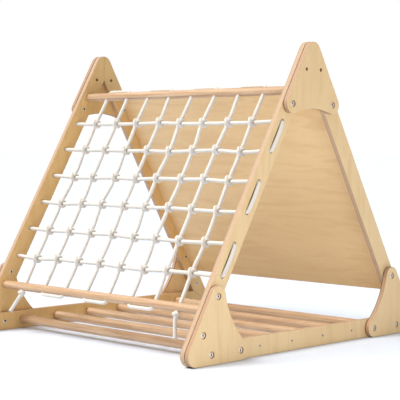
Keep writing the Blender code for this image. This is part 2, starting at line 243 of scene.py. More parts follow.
class StageSettings(bpy.types.PropertyGroup):
    azimuth: angle_setting("Azimuth", "Direction of the camera round the frame", 44.488)
    elevation: angle_setting("Elevation", "Height of the camera as an angle", 2.4406)
    roll: angle_setting("Roll", "Turn of the camera about its line of sight", 0.2374)
    distance: length_setting("Distance", "From the camera to the point it aims at", 3.810, 0.5)
    aim: bpy.props.FloatVectorProperty(
        name="Aim", description="Point at the middle of the picture",
        default=(0.0089, 0.0063, 0.3997), size=3, subtype="TRANSLATION", unit="LENGTH",
    )
    lens: bpy.props.FloatProperty(
        name="Lens", description="Focal length", default=112.98, min=10.0, subtype="DISTANCE_CAMERA",
    )
    key: power_setting("Key", "Strength of the sun", 3.45)
    fill: power_setting("Fill", "Power of the low side lamp", 13.0)
    sky: power_setting("Sky", "Light from straight above in the room", 0.85)
    horizon: power_setting("Horizon", "Light from the sides of the room", 0.12)


# ------------------------------------------------------------------------------- modelling aids

def deselect():
    if bpy.context.object and bpy.context.object.mode != "OBJECT":
        bpy.ops.object.mode_set(mode="OBJECT")
    bpy.ops.object.select_all(action="DESELECT")


def activate(obj):
    deselect()
    obj.select_set(True)
    bpy.context.view_layer.objects.active = obj


def apply_place():
    """Puts the active object's place into its mesh."""
    bpy.ops.object.transform_apply(location=True, rotation=True, scale=True)


def bevel(offset, segments=3, **settings):
    bpy.ops.mesh.bevel(offset=offset, segments=segments, profile=0.5, affect="EDGES", **settings)


def draw(start, *steps):
    """Leaves in edit mode a chain drawn from a point, straight to points and round arcs.

    An arc is (centre, degrees, count) and turns +Y towards +Z, which the spin tool does about -X.
    """
    deselect()
    bpy.ops.mesh.primitive_plane_add(size=PLY, location=start)
    bpy.ops.object.mode_set(mode="EDIT")
    bpy.ops.mesh.select_mode(type="VERT")
    bpy.ops.mesh.select_all(action="SELECT")
    bpy.ops.mesh.merge(type="CENTER")
    here = Vector(start)
    for step in steps:
        if isinstance(step, tuple):
            centre, degrees, count = step
            angle = math.radians(degrees)
            bpy.ops.mesh.spin(steps=count, angle=angle, center=centre, axis=(-1.0, 0.0, 0.0))
            here = centre + Matrix.Rotation(angle, 3, "X") @ (here - centre)
        else:
            bpy.ops.mesh.extrude_region_move(TRANSFORM_OT_translate={"value": step - here})
            here = Vector(step)
    return bpy.context.object


def close_up(distance=1e-6):
    bpy.ops.mesh.select_all(action="SELECT")
    bpy.ops.mesh.remove_doubles(threshold=distance)


def point(y, z, x=0.0):
    return Vector((x, y, z))


def polar(centre, radius, degrees):
    angle = math.radians(degrees)
    return centre + point(radius * math.cos(angle), radius * math.sin(angle))


def pick_edges(wanted):
    """Selects the edges of the mesh in edit mode that a test names."""
    bpy.ops.mesh.select_mode(type="EDGE")
    bpy.ops.mesh.select_all(action="DESELECT")
    mesh = bpy.context.object.data
    bm = bmesh.from_edit_mesh(mesh)
    for edge in bm.edges:
        edge.select = wanted(edge)
    bm.select_flush(True)
    bmesh.update_edit_mesh(mesh)


def thicken(square=None):
    """Fills the drawn outline, gives it the sheet's thickness and rounds over its rim."""
    close_up()
    bpy.ops.mesh.edge_face_add()
    bpy.ops.mesh.extrude_region_move(TRANSFORM_OT_translate={"value": (PLY, 0.0, 0.0)})
    bpy.ops.mesh.select_all(action="SELECT")
    bpy.ops.mesh.normals_make_consistent(inside=False)

    def on_rim(edge):
        a, b = (v.co for v in edge.verts)
        return abs(a.x - b.x) < PLY / 2 and not (square and square(a) and square(b))

    if square:
        pick_edges(lambda e: square(e.verts[0].co) and square(e.verts[1].co)
                   and abs(e.verts[0].co.x - e.verts[1].co.x) < PLY / 2)
        bevel(MITRE_EASE, 1)
    pick_edges(on_rim)
    bevel(bpy.context.scene.climbing_wood.edge_round, clamp_overlap=True)
    settle_transform()


def settle_transform():
    """Leaves edit mode and puts the object's place into its mesh."""
    activate(bpy.context.object)
    apply_place()


def turned(profile, steps=40):
    """A solid turned about X from (x, radius) points that start and end on the axis."""
    points = [point(0.0, radius, x) for x, radius in profile]
    obj = draw(points[0], *points[1:])
    bpy.ops.mesh.select_all(action="SELECT")
    bpy.ops.mesh.spin(steps=steps, angle=2 * math.pi, center=(0.0, 0.0, 0.0), axis=(1.0, 0.0, 0.0))
    close_up(2e-6)
    bpy.ops.mesh.normals_make_consistent(inside=False)
    settle_transform()
    return obj


def hexagon(radius, low, high):
    """A six-sided rod along X between two x values, to cut a key socket with."""
    deselect()
    bpy.ops.mesh.primitive_cylinder_add(
        vertices=6, radius=radius, depth=high - low, location=((low + high) / 2, 0.0, 0.0),
        rotation=(0.0, math.pi / 2, 0.0),
    )
    apply_place()
    return bpy.context.object


def copy_at(obj, matrix):
    """A copy with its own mesh, moved to a place in that mesh."""
    made = obj.copy()
    made.data = obj.data.copy()
    made.data.transform(matrix)
    bpy.context.scene.collection.objects.link(made)
    return made


def joined(parts):
    deselect()
    for part in parts:
        part.select_set(True)
    bpy.context.view_layer.objects.active = parts[0]
    bpy.ops.object.join()
    return bpy.context.object


def scorch(obj, whole=True):
    """Marks a cutter's faces, or only those square to X, as the ones that leave the dark second material:
    near-black bored wood or key socket, painted shade.
    """
    for _ in range(2):
        obj.data.materials.append(None)
    for face in obj.data.polygons:
        face.material_index = int(whole or abs(face.normal.x) > 0.9)


def both_ways(half):
    """A profile that is the same on both sides of x = 0, from its half on the -X side."""
    return [*half, *((-x, radius) for x, radius in reversed(half))]


def drill_bits(profile, places, steps=32, whole=True):
    """One cutter of turned bits, each at a place given as a matrix."""
    bit = turned(profile, steps)
    scorch(bit, whole)
    bits = joined([copy_at(bit, place) for place in places])
    bpy.data.objects.remove(bit)
    return bits


def cut(obj, *cutters):
    """Cuts other solids out of a piece; their marked faces bring the second material, the near-black painted
    shade of holes and sockets.
    """
    while len(obj.data.materials) < 2:
        obj.data.materials.append(None)
    for cutter in cutters:
        activate(obj)
        tool = obj.modifiers.new("cut", "BOOLEAN")
        tool.operation, tool.solver, tool.object = "DIFFERENCE", "MANIFOLD", cutter
        bpy.ops.object.modifier_apply(modifier=tool.name)


def discard(*objects):
    for obj in objects:
        bpy.data.objects.remove(obj)


def finish_piece(obj, name, finish, slot, *nodes, smooth=35.0):
    """Shades a modelled piece with its large faces kept flat, and settles it."""
    activate(obj)
    apply_place()
    bpy.ops.object.shade_smooth_by_angle(angle=math.radians(smooth))
    weights = obj.modifiers.new("weights", "WEIGHTED_NORMAL")
    weights.keep_sharp = True
    bpy.ops.object.modifier_apply(modifier=weights.name)
    settle(obj, name, finish, slot, *nodes)
    return obj


def settle(obj, name, finish, slot, *nodes):
    """Names a piece, gives it its materials and ties it to the frame."""
    obj.name = obj.data.name = name
    if len(obj.data.materials) == 2:
        obj.data.materials[0] = finish
        # The second slot is painted shade: the near-black bored wood of holes, channels and recess floors, or
        # the near-black key socket of a bolt or screw.
        obj.data.materials[1] = once(bored if slot != "zinc_steel" else socket)
    else:
        obj.data.materials.clear()
        obj.data.materials.append(finish)
    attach(obj, BODY)
    if nodes:
        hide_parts(*nodes)


def pointing(sign):
    """Turns what points to +X to point to either side."""
    return Matrix.Rotation(0.0 if sign > 0 else math.pi, 4, "Z")


def at_node(node):
    """The place on the X axis line through a node's middle."""
    spot = middle(node)
    return Matrix.Translation((0.0, spot.y, spot.z))


# ----------------------------------------------------------------------------------- materials

class Nodes:
    """Adds nodes to a tree, wiring each from keyword inputs."""

    def __init__(self, tree):
        self.tree = tree

    def add(self, kind, inputs=None, **settings):
        node = self.tree.nodes.new(kind)
        for key, value in settings.items():
            setattr(node, key, value)
        for key, value in (inputs or {}).items():
            self.set(node.inputs[key], value)
        return node

    def set(self, socket, value):
        if isinstance(value, bpy.types.NodeSocket):
            self.tree.links.new(value, socket)
        else:
            socket.default_value = value

    def math(self, operation, *values):
        node = self.tree.nodes.new("ShaderNodeMath")
        node.operation = operation
        for socket, value in zip(node.inputs, values):
            self.set(socket, value)
        return node.outputs[0]

    def times(self, a, b):
        return self.math("MULTIPLY", a, b)

    def turned(self, vector, rotation):
        return self.add("ShaderNodeMapping", {"Vector": vector, "Rotation": rotation}).outputs[0]

    def noise(self, vector, scale, detail=2.0, roughness=0.5, distortion=0.0, shift=(0.0, 0.0, 0.0)):
        """Noise with one scale, or with a scale for each axis."""
        stretch = scale if isinstance(scale, tuple) else (scale, scale, scale)
        inputs = {"Vector": vector, "Scale": stretch, "Location": shift}
        inputs = {
            "Vector": self.add("ShaderNodeMapping", inputs).outputs[0], "Scale": 1.0,
            "Detail": detail, "Roughness": roughness, "Distortion": distortion,
        }
        return self.add("ShaderNodeTexNoise", inputs).outputs[0]

    def mapped(self, value, low, high, to_low=0.0, to_high=1.0, smooth=True):
        inputs = {"Value": value, "From Min": low, "From Max": high, "To Min": to_low, "To Max": to_high}
        kind = "SMOOTHSTEP" if smooth else "LINEAR"
        return self.add("ShaderNodeMapRange", inputs, interpolation_type=kind).outputs[0]

    def blend(self, factor, a, b, mode="MIX"):
        node = self.add("ShaderNodeMix", data_type="RGBA", blend_type=mode)
        self.set(node.inputs[0], factor)
        self.set(node.inputs[6], a)
        self.set(node.inputs[7], b)
        return node.outputs[2]

    def tint(self, colour, mask, amount, toward, mode="MIX"):
        """A colour blended by so much of a mask towards another one."""
        return self.blend(self.times(mask, amount), colour, toward, mode)

    def bump(self, height, distance, strength):
        inputs = {"Height": height, "Distance": distance, "Strength": strength}
        return self.add("ShaderNodeBump", inputs).outputs[0]

    def finish(self, shader, colour, roughness, height, depth, amount):
        """Wires a surface: its colour, its gloss and a relief of so much depth."""
        self.set(shader["Base Color"], colour)
        self.set(shader["Roughness"], roughness)
        self.set(shader["Normal"], self.bump(height, depth, amount))

    def parts(self, vector):
        return self.add("ShaderNodeSeparateXYZ", {"Vector": vector}).outputs

    def group(self, maker, **inputs):
        """A node of the group that a maker function builds under its own name."""
        node = self.tree.nodes.new("ShaderNodeGroup")
        node.node_tree = bpy.data.node_groups.get(maker.__name__) or maker()
        for key, value in inputs.items():
            self.set(node.inputs[key.replace("_", " ")], value)
        return node


def new_group(name, inputs, outputs):
    """An empty shader group with (name, socket type, default) inputs and (name, type) outputs."""
    tree = bpy.data.node_groups.new(name, "ShaderNodeTree")
    for label, kind, default in inputs:
        socket = tree.interface.new_socket(name=label, in_out="INPUT", socket_type=kind)
        if default is not None:
            socket.default_value = default
    for label, kind in outputs:
        tree.interface.new_socket(name=label, in_out="OUTPUT", socket_type=kind)
    nodes = Nodes(tree)
    return tree, nodes, tree.nodes.new("NodeGroupInput").outputs, tree.nodes.new("NodeGroupOutput").inputs


def rgba(colour, strength=1.0):
    return (*(c * strength for c in colour), 1.0)


VALUE, VECTOR = "NodeSocketFloat", "NodeSocketVector"


def birch_figure():
    """Rotary-cut birch, grain along Y: wide wavy figure, fine pores and a slow change of tone."""
    tree, n, given, out = new_group(
        "birch_figure", [("Vector", VECTOR, None)],
        [("Figure", VALUE), ("Pores", VALUE), ("Tone", VALUE), ("Height", VALUE)],
    )
    warp = n.noise(given["Vector"], (7.0, 1.1, 7.0), 3.0, 0.55, 0.4)
    rings = n.math("SINE", n.times(warp, 62.0))
    figure = n.mapped(rings, -1.0, 1.0)
    breaks = n.noise(given["Vector"], (40.0, 4.0, 40.0), 3.0, 0.6)
    figure = n.times(figure, n.mapped(breaks, 0.30, 0.70))
    pores = n.noise(given["Vector"], (1500.0, 55.0, 1500.0), 2.0, 0.6)
    pores = n.mapped(pores, 0.60, 0.72)
    tone = n.noise(given["Vector"], (5.0, 1.6, 5.0), shift=(3.1, 0.7, 1.9))
    n.set(out["Figure"], figure)
    n.set(out["Pores"], pores)
    n.set(out["Tone"], n.mapped(tone, 0.25, 0.75))
    n.set(out["Height"], n.math("SUBTRACT", n.times(figure, 0.3), pores))
    return tree


def ply_edge():
    """The veneers on a cut edge: Depth runs from 0 to 1 through the sheet."""
    tree, n, given, out = new_group(
        "ply_edge", [("Vector", VECTOR, None), ("Depth", VALUE, 0.5), ("Plies", VALUE, 11.0)],
        [("End Grain", VALUE), ("Glue", VALUE), ("Fibres", VALUE)],
    )
    wander = n.noise(given["Vector"], 9.0, 2.0)
    depth = n.math("ADD", n.times(given["Depth"], given["Plies"]),
                   n.mapped(wander, 0.0, 1.0, -0.10, 0.10, smooth=False))
    ply = n.math("FLOOR", depth)
    end_grain = n.math("MODULO", n.math("ABSOLUTE", ply), 2.0)
    within = n.math("FRACT", depth)
    nearest = n.math("MINIMUM", within, n.math("SUBTRACT", 1.0, within))
    glue = n.mapped(nearest, 0.05, 0.14, 1.0, 0.0)
    fibres = n.noise(given["Vector"], (900.0, 260.0, 260.0), 3.0, 0.65)
    n.set(out["End Grain"], end_grain)
    n.set(out["Glue"], glue)
    n.set(out["Fibres"], fibres)
    return tree


def lacquer_wear():
    """Fine handling marks: the gloss of the lacquer, with slightly duller patches."""
    tree, n, given, out = new_group(
        "lacquer_wear", [("Vector", VECTOR, None), ("Dull", VALUE, 0.12), ("Base", VALUE, 0.42)],
        [("Roughness", VALUE)],
    )
    patches = n.noise(given["Vector"], 14.0, 4.0, 0.6)
    rubs = n.noise(given["Vector"], 240.0, 2.0, 0.5)
    spread = n.math("ADD", n.times(patches, 0.7), n.times(rubs, 0.3))
    n.set(out["Roughness"], n.math("ADD", given["Base"], n.times(spread, given["Dull"])))
    return tree


def rope_plait():
    """The plait of a braided rope on its own UV map: U once round, V in turns of its girth."""
    tree, n, given, out = new_group(
        "rope_plait", [("UV", VECTOR, None), ("Strands", VALUE, 8.0), ("Slant", VALUE, 6.0)],
        [("Height", VALUE), ("Painted Crevice Shade", VALUE)],
    )
    parts = n.parts(given["UV"])
    round_way = n.times(parts[0], given["Strands"])
    long_way = n.times(parts[1], given["Slant"])
    heights = []
    for way in ("ADD", "SUBTRACT"):
        phase = n.math(way, round_way, long_way)
        heights.append(n.math("ABSOLUTE", n.math("SINE", n.times(phase, math.pi))))
    pillow = n.times(*heights)
    yarn_phase = n.times(n.math("ADD", round_way, long_way), 5.0 * math.pi)
    yarn = n.mapped(n.math("SINE", yarn_phase), -1.0, 1.0)
    n.set(out["Height"], n.math("ADD", n.math("POWER", pillow, 0.6), n.times(yarn, 0.12)))
    # Painted shade: this output is 1 where the strands dip apart, for darkening the colour there.
    n.set(out["Painted Crevice Shade"], n.mapped(pillow, 0.0, 0.35, 1.0, 0.0))
    return tree


def new_material(name, metallic=0.0, **constants):
    """A new material, its nodes, its Principled shader's inputs and its texture coordinates."""
    made = bpy.data.materials.new(name)
    made.use_nodes = True
    n = Nodes(made.node_tree)
    shader = made.node_tree.nodes["Principled BSDF"].inputs
    shader["Metallic"].default_value = metallic
    for key, value in constants.items():
        shader[key.replace("_", " ")].default_value = value
    coords = n.add("ShaderNodeTexCoord").outputs
    return made, n, shader, coords


def plywood(name, start, burn_and_shade):
    """Birch plywood with upright grain, painted shade and warm bounce light on the faces that look into the
    triangle, and its veneers showing on cut edges.

    start is |x| where the sheet begins, and the last argument is how dark its cut edges are: partly saw burn
    and partly painted shade.
    """
    name = f"birch_{name}"
    if name in bpy.data.materials:
        return bpy.data.materials[name]
    wood = bpy.context.scene.climbing_wood
    made, n, shader, coords = new_material(name, Coat_Weight=0.10, Coat_Roughness=0.25)
    flat = n.turned(coords["Object"], (-math.pi / 2, 0.0, 0.0))
    figure = n.group(birch_figure, Vector=flat).outputs
    place = n.parts(coords["Object"])
    depth = n.math("DIVIDE", n.math("SUBTRACT", n.math("ABSOLUTE", place["X"]), start), PLY)
    edge = n.group(ply_edge, Vector=flat, Depth=depth, Plies=float(wood.plies)).outputs
    wear = n.group(lacquer_wear, Vector=flat, Base=0.40, Dull=0.16).outputs
    facing = n.parts(n.add("ShaderNodeNewGeometry").outputs["Normal"])["X"]
    on_face = n.mapped(n.math("ABSOLUTE", facing), 0.80, 0.97)
    inside = n.math("LESS_THAN", n.times(facing, place["X"]), 0.0)

    face = n.blend(n.times(figure["Figure"], 0.40), rgba(wood.face_light), rgba(wood.face_dark))
    face = n.tint(face, figure["Tone"], 0.25, rgba(wood.face_dark, 1.04))
    face = n.tint(face, figure["Pores"], 0.30, rgba(wood.face_dark, 0.62))
    # Painted shade and bounce light: faces that look into the triangle are multiplied darker and more golden.
    face = n.tint(face, inside, 0.85, rgba((0.97, 0.87, 0.66)), "MULTIPLY")
    veneers = n.times(edge["End Grain"], 0.45 + 0.5 * burn_and_shade)
    cut_edge = n.blend(veneers, rgba(wood.edge_light), rgba(wood.edge_dark))
    cut_edge = n.tint(cut_edge, edge["Glue"], 0.55, rgba(wood.edge_dark, 0.60))
    fibres = n.mapped(edge["Fibres"], 0.2, 0.8)
    cut_edge = n.tint(cut_edge, fibres, 0.16, rgba(wood.edge_dark, 1.2))
    # Darkens the whole cut edge: partly saw burn, partly painted shade.
    cut_edge = n.blend(burn_and_shade * 0.55, cut_edge, rgba(wood.edge_dark, 1.25))
    # Painted shade: the cut edges go near-black next to the sheet's inner face, strongest on the gussets
    # where they meet the rails.
    painted_joint_shade = n.times(n.mapped(depth, 0.10, 0.26, 1.0, 0.0), min(1.0, 1.2 * burn_and_shade))
    cut_edge = n.blend(painted_joint_shade, cut_edge, rgba(wood.bored, 0.9))
    # Painted shade: the cut edges go near-black within 4.5 mm of the floor, where the frame stands on it,
    # broken up a little by the fibres.
    painted_floor_shade = n.times(n.mapped(place["Z"], 0.0, 0.0045, 1.0, 0.0),
                     n.mapped(edge["Fibres"], 0.1, 0.6, 0.6, 1.0))
    cut_edge = n.blend(painted_floor_shade, cut_edge, rgba(wood.bored, 1.1))
    off_face = n.math("SUBTRACT", 1.0, on_face)
    gloss = n.math("ADD", wear["Roughness"], n.times(off_face, 0.12))
    layers = n.math("ADD", edge["End Grain"], n.times(edge["Fibres"], 0.8))
    height = n.math("ADD", n.times(figure["Height"], on_face), n.times(layers, off_face))
    n.finish(shader, n.blend(on_face, cut_edge, face), gloss, height, 0.00012, 0.5)
    return made


def bored():
    """Near-black wood inside holes, routed channels and recess floors: a little real scorch from the drill
    and the router, darkened far past it as painted shade.
    """
    wood = bpy.context.scene.climbing_wood
    made, n, shader, coords = new_material("bored_finish")
    rings = n.noise(coords["Object"], (1400.0, 260.0, 260.0), 3.0, 0.6)
    colour = n.blend(rings, rgba(wood.bored, 0.7), rgba(wood.bored, 1.5))
    n.finish(shader, colour, n.mapped(rings, 0.2, 0.8, 0.72, 0.90), rings, 0.00010, 0.5)
    return made


def socket():
    """Near-black paint inside a key socket: painted shade, far darker than the zinc round it."""
    made, n, shader, coords = new_material("socket_finish", metallic=0.8)
    scuffs = n.noise(coords["Object"], 900.0, 3.0)
    n.set(shader["Base Color"], n.blend(scuffs, rgba((0.03, 0.028, 0.026)), rgba((0.09, 0.085, 0.08))))
    n.set(shader["Roughness"], n.mapped(scuffs, 0.3, 0.7, 0.45, 0.65))
    return made


def panel_plywood():
    """The panel: the same birch, slightly deeper in tone, with its grain along X."""
    wood = bpy.context.scene.climbing_wood
    made, n, shader, coords = new_material("panel_plywood_finish", Coat_Weight=0.15, Coat_Roughness=0.22)
    turn = RAILS["panel_rail"][1]
    flat = n.turned(coords["Object"], (-turn, 0.0, 0.0))
    grain = n.turned(flat, (0.0, 0.0, math.pi / 2))
    figure = n.group(birch_figure, Vector=grain).outputs
    wear = n.group(lacquer_wear, Vector=flat, Base=0.36, Dull=0.16).outputs
    face = n.blend(n.times(figure["Figure"], 0.58), rgba(wood.panel_light), rgba(wood.panel_dark))
    face = n.tint(face, figure["Tone"], 0.35, rgba(wood.face_dark, 1.02))
    face = n.tint(face, figure["Pores"], 0.30, rgba(wood.face_dark, 0.62))
    n.finish(shader, face, wear["Roughness"], figure["Height"], 0.00010, 0.5)
    return made


def beech():
    """Oiled beech with its grain along X: long soft streaks and short dark flecks."""
    wood = bpy.context.scene.climbing_wood
    made, n, shader, coords = new_material("beech_finish", Coat_Weight=0.40, Coat_Roughness=0.30)
    streaks = n.noise(coords["Object"], (5.0, 170.0, 170.0), 4.0, 0.6, 0.3)
    bands = n.noise(coords["Object"], (1.6, 34.0, 34.0), 2.0, 0.5)
    flecks = n.noise(coords["Object"], (150.0, 1300.0, 1300.0), 1.0, 0.4)
    flecks = n.mapped(flecks, 0.62, 0.72)
    wear = n.group(lacquer_wear, Vector=coords["Object"], Base=0.34, Dull=0.16).outputs
    colour = n.blend(n.mapped(streaks, 0.3, 0.7), rgba(wood.beech_light), rgba(wood.beech_dark, 1.12))
    colour = n.blend(n.times(n.mapped(bands, 0.35, 0.7), 0.45), colour, rgba(wood.beech_dark, 1.1))
    colour = n.tint(colour, flecks, 0.40, rgba(wood.beech_dark, 0.6))
    n.finish(shader, colour, wear["Roughness"], n.math("SUBTRACT", streaks, flecks), 0.00010, 0.4)
    return made


def cotton():
    """Off-white plaited cotton, on each rope's own UV map."""
    rope = bpy.context.scene.climbing_rope
    made, n, shader, coords = new_material(
        "cotton_finish", Sheen_Weight=0.25, Sheen_Roughness=0.5, Specular_IOR_Level=0.25,
    )
    plait = n.group(rope_plait, UV=coords["UV"], Strands=8.0, Slant=6.0).outputs
    soil = n.noise(coords["Object"], 22.0, 3.0, 0.6)
    fuzz = n.noise(coords["Object"], 2600.0, 2.0, 0.6)
    colour = n.blend(n.times(n.mapped(soil, 0.35, 0.75), 0.35), rgba(rope.colour),
                     rgba((rope.colour[0], rope.colour[1] * 0.97, rope.colour[2] * 0.92)))
    # Painted shade: the rope darkens in the crevices between its strands.
    colour = n.tint(colour, plait["Painted Crevice Shade"], 0.45, rgba((0.55, 0.48, 0.40)))
    colour = n.blend(n.times(n.mapped(fuzz, 0.3, 0.7), 0.10), colour, rgba((0.72, 0.66, 0.58)))
    gloss = n.mapped(fuzz, 0.2, 0.8, 0.82, 0.97, smooth=False)
    n.finish(shader, colour, gloss, n.math("ADD", plait["Height"], n.times(fuzz, 0.25)), 0.0005, 0.8)
    return made


def zinc():
    """Bright zinc plate with a slow change of tone and faint scuffs."""
    made, n, shader, coords = new_material("zinc_finish", metallic=0.75)
    scuffs = n.noise(coords["Object"], 400.0, 4.0, 0.6)
    cloud = n.noise(coords["Object"], 60.0, 2.0)
    colour = n.blend(n.mapped(cloud, 0.3, 0.7), rgba((0.90, 0.84, 0.74)), rgba((0.78, 0.71, 0.61)))
    n.finish(shader, colour, n.mapped(scuffs, 0.3, 0.7, 0.26, 0.44), scuffs, 0.00003, 0.3)
    return made


def once(maker):
    """The material that a maker function builds, built the first time it is asked for."""
    return bpy.data.materials.get(f"{maker.__name__}_finish") or maker()


# --------------------------------------------------------------------------------------- ropes

def smooth_line(points, step):
    """Points about a step apart on one smooth curve through the given points."""
    given = np.array([tuple(p) for p in points], float)
    ends = np.vstack([2 * given[0] - given[1], given, 2 * given[-1] - given[-2]])
    gaps = np.sqrt(np.linalg.norm(np.diff(ends, axis=0), axis=1))
    knots = np.concatenate([[0.0], np.cumsum(gaps)])
    fine = []
    for i in range(1, len(ends) - 2):
        p, t = ends[i - 1:i + 3], knots[i - 1:i + 3]
        at = np.linspace(t[1], t[2], 24, endpoint=False)[:, None]
        a = [((t[k + 1] - at) * p[k] + (at - t[k]) * p[k + 1]) / (t[k + 1] - t[k]) for k in range(3)]
        b = [((t[k + 2] - at) * a[k] + (at - t[k]) * a[k + 1]) / (t[k + 2] - t[k]) for k in range(2)]
        fine.append(((t[2] - at) * b[0] + (at - t[1]) * b[1]) / (t[2] - t[1]))
    fine = np.vstack(fine + [given[-1:]])
    along = np.concatenate([[0.0], np.cumsum(np.linalg.norm(np.diff(fine, axis=0), axis=1))])
    count = max(2, round(along[-1] / step) + 1)
    at = np.linspace(0.0, along[-1], count)
    return np.stack([np.interp(at, along, fine[:, k]) for k in range(3)], axis=1)


def rope_tube(name, line, radii, sides, dome=0.0):
    """A closed tube along a line, with a UV map once round and in turns of its girth along it."""
    ahead = np.gradient(line, axis=0)
    ahead /= np.linalg.norm(ahead, axis=1)[:, None]
    side = np.cross(ahead[0], (0.31, 0.67, 0.68))
    across = []
    for direction in ahead:
        side = side - direction * np.dot(side, direction)
        side = side / np.linalg.norm(side)
        across.append(side)
    across = np.array(across)
    third = np.cross(ahead, across)
    angles = np.arange(sides) * 2 * math.pi / sides
    rings = line[:, None] + radii[:, None, None] * (
        np.cos(angles)[None, :, None] * across[:, None] + np.sin(angles)[None, :, None] * third[:, None]
    )
    verts = rings.reshape(-1, 3)
    tips = np.array([line[0] - ahead[0] * dome, line[-1] + ahead[-1] * dome])
    count = len(line)
    girth = 2 * math.pi * float(np.median(radii))
    along = np.concatenate([[0.0], np.cumsum(np.linalg.norm(np.diff(line, axis=0), axis=1))]) / girth
    faces, uvs = [], []
    for i in range(count - 1):
        for j in range(sides):
            k = (j + 1) % sides
            faces.append((i * sides + j, i * sides + k, (i + 1) * sides + k, (i + 1) * sides + j))
            u, v = (j / sides, (j + 1) / sides), (along[i], along[i + 1])
            uvs += [(u[0], v[0]), (u[1], v[0]), (u[1], v[1]), (u[0], v[1])]
    first, last, end_ring = count * sides, count * sides + 1, (count - 1) * sides
    for j in range(sides):
        k = (j + 1) % sides
        faces += [(first, k, j), (last, end_ring + j, end_ring + k)]
        u, v = (j / sides, (j + 1) / sides), (along[0], along[-1])
        uvs += [(0.5, v[0]), (u[1], v[0]), (u[0], v[0]), (0.5, v[1]), (u[0], v[1]), (u[1], v[1])]
    mesh = bpy.data.meshes.new(name)
    mesh.from_pydata(np.vstack([verts, tips]).tolist(), [], faces)
    mesh.uv_layers.new(name="along").data.foreach_set("uv", np.array(uvs, np.float32).ravel())
    mesh.shade_smooth()
    mesh.validate()
    obj = bpy.data.objects.new(name, mesh)
    bpy.context.scene.collection.objects.link(obj)
    return obj


def knot(name, place, half_turns, size, rope):
    """Rope wound round an axis and drawn in at both ends, through the points that place gives."""
    points = []
    for i in range(KNOT_POINTS + 1):
        part = i / KNOT_POINTS
        angle, reach = part * half_turns * math.pi, ROPE_D * size * math.sin(math.pi * part) ** 0.35
        points.append(place(part, reach * math.cos(angle), reach * math.sin(angle)))
    line = smooth_line(points, rope.ring_step)
    return rope_tube(name, line, np.full(len(line), ROPE_D * 0.46), rope.sides, dome=0.002)


def net_point(x, down, out=0.0):
    """World point on the net: across, down the slope and out from the dowels' middle line."""
    return NET @ Vector((x, down, MIDDLE - out))


# Half of a hitch in rope diameters from the crossing, as (across, down, out): the rope comes down in
# front, goes round behind the rope across and over its top, and starts the riding turn. The other half
# is the same turned half round. Each hitch draws its rope across back, out of the net's plane.
HALF_HITCH = (
    (0.00, -2.70, 0.00), (0.01, -1.75, 0.10), (-0.04, -0.85, 0.52), (-0.24, 0.05, 0.66),
    (-0.44, 0.72, 0.38), (-0.50, 0.95, -0.30), (-0.50, 0.66, -1.02), (-0.47, 0.00, -1.28),
    (-0.47, -0.68, -1.02), (-0.50, -1.02, -0.30), (-0.44, -1.00, 0.48), (-0.22, -0.50, 1.12),
)
DRAWN_BACK = 0.35
HITCH_SQUEEZE = 0.14        # how far a rope's radius gives in a hitch, as a share of it
KNOT_POINTS = 28


def crossings():
    """Where each rope down meets each rope across, a little off its even place."""
    wander = bpy.context.scene.climbing_rope.wander
    chance = random.Random(11)
    places = {}
    for row, down in enumerate(ROWS):
        for column, x in enumerate(COLUMNS):
            stray = [chance.uniform(-wander, wander) for _ in range(3)]
            places[column, row] = (x + stray[0], down + stray[1], stray[2] * 0.5)
    return places


def stitch(surface, start, end, rope, bow=0.0):
    """(height, travel) points of a stitch between two holes, heights out from the holes' middle."""
    top = surface + ROPE_D * (0.24 if bow else 0.36)
    bend = rope.stitch_bend
    way = 1.0 if end > start else -1.0
    turn = [math.radians(90.0 * i / 4) for i in range(5)]
    rise = [(top - bend * (1 - math.sin(a)), start + way * bend * (1 - math.cos(a))) for a in turn]
    crown = [(top + bow * 0.8, start + (end - start) * 0.32), (top + bow, (start + end) / 2)]
    return rise + crown + [(height, end - (travel - start)) for height, travel in reversed(rise + crown[:1])]


# ----------------------------------------------------------------------------------- operators

